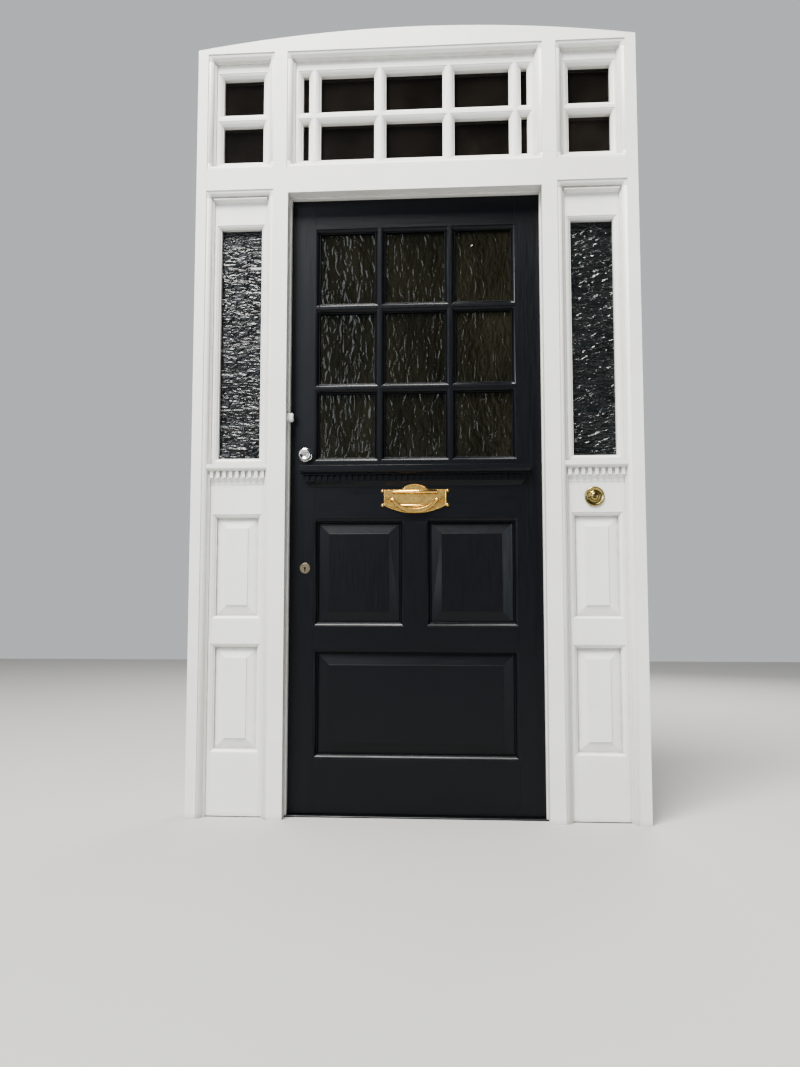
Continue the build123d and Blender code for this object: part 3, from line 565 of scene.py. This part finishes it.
hingeLook = {
    "levels": (0.200, 1.000, 1.780),
    "rows": (-0.038, -0.013, 0.013, 0.038),
    "setback": 0.015,
    "radius": 0.0036,
}
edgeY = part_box("hinge_stile")[1][1] - hingeLook["setback"]
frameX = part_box("threshold_strip")[1][0]
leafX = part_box("hinge_stile")[1][0]
levels = [level + row for level in hingeLook["levels"] for row in hingeLook["rows"]]
frameSpots = [(frameX + sunk, edgeY, level) for level in levels]
leafSpots = [(leafX - sunk, edgeY, level) for level in levels]
radius = hingeLook["radius"]
screwSet("hingeFrameScrews", frameSpots, (-1, 0, 0), radius, metals["dullBrass"], "frame")
screwSet("hingeLeafScrews", leafSpots, (1, 0, 0), radius, metals["dullBrass"], "leaf")
print("screws driven")


# Raised bead round the letter plate, with a domed stud on each ear

plateLook = {
    "thickness": 0.003,
    "belly": 0.042,
    "bead": 0.0015,
    "beadSides": 12,
    "curveSteps": 24,
    "foot": ((-0.0955, -0.0153), (0, -0.0398), (0.0955, -0.0153)),
    "shoulder": ((0.0955, 0.0307), (0.0456, 0.0307)),
    "hollow": ((0.0456, 0.0307), (0.0364, 0.0335), (0.0316, 0.0394)),
    "crown": ((0.0316, 0.0394), (0, 0.0487), (-0.0316, 0.0394)),
    "ear": ((0.1016, -0.0160), (0.1016, 0.0289)),
    "earRadius": 0.0050,
    "earHeight": 0.0032,
    "earSunk": 0.0004,
    "earSides": 24,
    "earTop": 0.62,  # as a share of the radius, as is the round on its edge
    "earRound": 0.55,
    "earSteps": 4,
}
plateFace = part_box("lock_rail")[0][1] - plateLook["thickness"]
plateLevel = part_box("letter_plate")[0][2] + plateLook["belly"]


def addBeadStart(shape, place, heading):
    turn = Vector((heading[0], 0, heading[1])).to_track_quat("Z", "Y").to_matrix().to_4x4()
    spot = Matrix.Translation((place[0], plateFace, plateLevel + place[1])) @ turn
    ring = bmesh.ops.create_circle(shape, cap_ends=True, segments=plateLook["beadSides"],
                                   radius=plateLook["bead"], matrix=spot)
    return ring["verts"][0].link_faces[0]


def addStraightBead(shape, start, end):
    run = Vector(end) - Vector(start)
    pushFaces(shape, [addBeadStart(shape, start, run)], (run.x, 0, run.y))


def addCurvedBead(shape, start, middle, end):
    first, second, third = Vector(start), Vector(middle), Vector(end)
    chordA, chordB = second - first, third - first
    cross = 2 * (chordA.x * chordB.y - chordA.y * chordB.x)
    away = Vector((chordB.y * chordA.length_squared - chordA.y * chordB.length_squared,
                   chordA.x * chordB.length_squared - chordB.x * chordA.length_squared)) / cross
    centre = first + away  # of the circle through the three points
    sweep = (first - centre).angle_signed(third - centre)
    heading = Vector((away.y, -away.x)) if sweep < 0 else Vector((-away.y, away.x))
    face = addBeadStart(shape, start, heading)
    ring = [face] + face.edges[:] + face.verts[:]
    bmesh.ops.spin(shape, geom=ring, cent=(centre.x, plateFace, plateLevel + centre.y),
                   axis=(0, 1, 0), angle=sweep, steps=plateLook["curveSteps"])


def addEarStud(shape, x, z):
    radius, height = plateLook["earRadius"], plateLook["earHeight"]
    middle = Vector((x, plateFace - height / 2 + plateLook["earSunk"], plateLevel + z))
    spot = Matrix.Translation(middle) @ Matrix.Rotation(pi / 2, 4, "X")
    stud = bmesh.ops.create_cone(shape, cap_ends=True, segments=plateLook["earSides"], radius1=radius,
                                 radius2=radius * plateLook["earTop"], depth=height, matrix=spot)
    studVerts = set(stud["verts"])
    front = [e for e in shape.edges if all(v in studVerts and v.co.y < middle.y for v in e.verts)]
    bmesh.ops.bevel(shape, geom=front, offset=radius * plateLook["earRound"], affect="EDGES",
                    segments=plateLook["earSteps"], profile=0.5, material=-1)


def flipped(points):
    return tuple((-x, z) for x, z in points)


bead = bmesh.new()
addCurvedBead(bead, *plateLook["foot"])
addCurvedBead(bead, *plateLook["crown"])
for hand in (tuple, flipped):  # the right half as it is measured, then the left
    addStraightBead(bead, *hand(plateLook["shoulder"]))
    addStraightBead(bead, *hand((plateLook["foot"][2], plateLook["shoulder"][0])))
    addCurvedBead(bead, *hand(plateLook["hollow"]))
    for x, z in hand(plateLook["ear"]):
        addEarStud(bead, x, z)
finishPiece("letterPlateBead", bead, metals["polishedBrass"], "leaf")
print("letter plate beaded")


# Floor, light and camera

floorLook = {"size": 14.0, "colour": (0.46, 0.455, 0.44), "rough": 0.8}
bpy.ops.mesh.primitive_plane_add(size=floorLook["size"], location=(0, 0, 0))
floor = bpy.context.object
floor.name = "studioFloor"
floorMaterial, floorTree, floorShader = newMaterial("studioFloor")
floorShader.inputs["Base Color"].default_value = (*floorLook["colour"], 1)
floorShader.inputs["Roughness"].default_value = floorLook["rough"]
floor.data.materials.append(floorMaterial)

skyLook = {
    "frontLow": (0.16, 0.165, 0.17),
    "frontHigh": (0.50, 0.54, 0.61),
    "frontRight": (0.045, 0.050, 0.058),
    "overhead": (0.030, 0.028, 0.026),
    "behind": (0.46, 0.47, 0.48),
}
skyBands = (  # each colour covers the ones before it, from one height or side to the next
    ("frontHigh", "Z", 0.02, 0.16),
    ("overhead", "Z", 0.34, 0.60),
    ("frontRight", "X", -0.20, 0.12),
    ("behind", "Y", -0.15, 0.25),
)
bpy.context.scene.view_settings.look = "AgX - Medium High Contrast"
world = bpy.data.worlds.new("studioSky")
world.use_nodes = True
skyTree = world.node_tree
direction = addNode(skyTree, "ShaderNodeTexCoord")
heading = addNode(skyTree, "ShaderNodeSeparateXYZ")
skyTree.links.new(direction.outputs["Generated"], heading.inputs["Vector"])
skyColour = skyLook["frontLow"]
for name, axis, start, end in skyBands:
    share = spread(skyTree, heading.outputs[axis], 0.0, 1.0, start, end)
    skyColour = mixColour(skyTree, share, skyColour, skyLook[name])
seen = addNode(skyTree, "ShaderNodeLightPath")
backing = mixColour(skyTree, seen.outputs["Is Camera Ray"], skyColour, skyLook["behind"])
skyTree.links.new(backing, skyTree.nodes["Background"].inputs["Color"])
bpy.context.scene.world = world

lightLook = {
    "key": {
        "place": (-1.5, -3.5, 7.3),
        "aim": (0, 0, 1.0),
        "size": (3.0, 3.0),
        "power": 1200,
        "colour": (1.0, 0.985, 0.955),
    },
    "sky": {
        "place": (0.0, -4.6, 1.6),
        "aim": (0, 0, 1.0),
        "size": (2.4, 0.7),
        "power": 2.2,
        "colour": (0.93, 0.96, 1.0),
    },
    "fill": {
        "place": (3.0, -4.4, 1.3),
        "aim": (0, 0, 1.0),
        "size": (0.7, 1.3),
        "power": 32,
        "colour": (0.86, 0.93, 1.0),
    },
    "window": {
        "place": (-2.6, -4.4, 2.9),
        "aim": (0, 0, 1.2),
        "size": (1.8, 2.4),
        "power": 78,
        "colour": (0.86, 0.93, 1.0),
    },
    "room": {
        "place": (1.6, 4.2, 3.2),
        "aim": (0, 0, 1.2),
        "size": (2.6, 2.6),
        "power": 150,
        "colour": (1.0, 0.98, 0.95),
    },
}
for name, look in lightLook.items():
    lamp = bpy.data.lights.new(name + "Light", "AREA")
    lamp.shape = "RECTANGLE"
    lamp.size, lamp.size_y = look["size"]
    lamp.energy = look["power"]
    lamp.color = look["colour"]
    holder = bpy.data.objects.new(name + "Light", lamp)
    holder.location = look["place"]
    aim = Vector(look["aim"]) - Vector(look["place"])
    holder.rotation_euler = aim.to_track_quat("-Z", "Y").to_euler()
    bpy.context.scene.collection.objects.link(holder)

cameraLook = {
    "place": (0.1276, -2.6752, 0.6547),
    "pitch": 0.0784,
    "turn": 0.0650,
    "lens": 29.147,
    "sensor": 36.0,
    "nearest": 0.01,
}
eye = bpy.data.cameras.new("eye")
eye.lens = cameraLook["lens"]
eye.sensor_width = cameraLook["sensor"]
eye.clip_start = cameraLook["nearest"]
eyeHolder = bpy.data.objects.new("eye", eye)
eyeHolder.location = cameraLook["place"]
eyeHolder.rotation_euler = (pi / 2 + cameraLook["pitch"], 0, cameraLook["turn"])
bpy.context.scene.collection.objects.link(eyeHolder)
bpy.context.scene.camera = eyeHolder
print("studio ready")
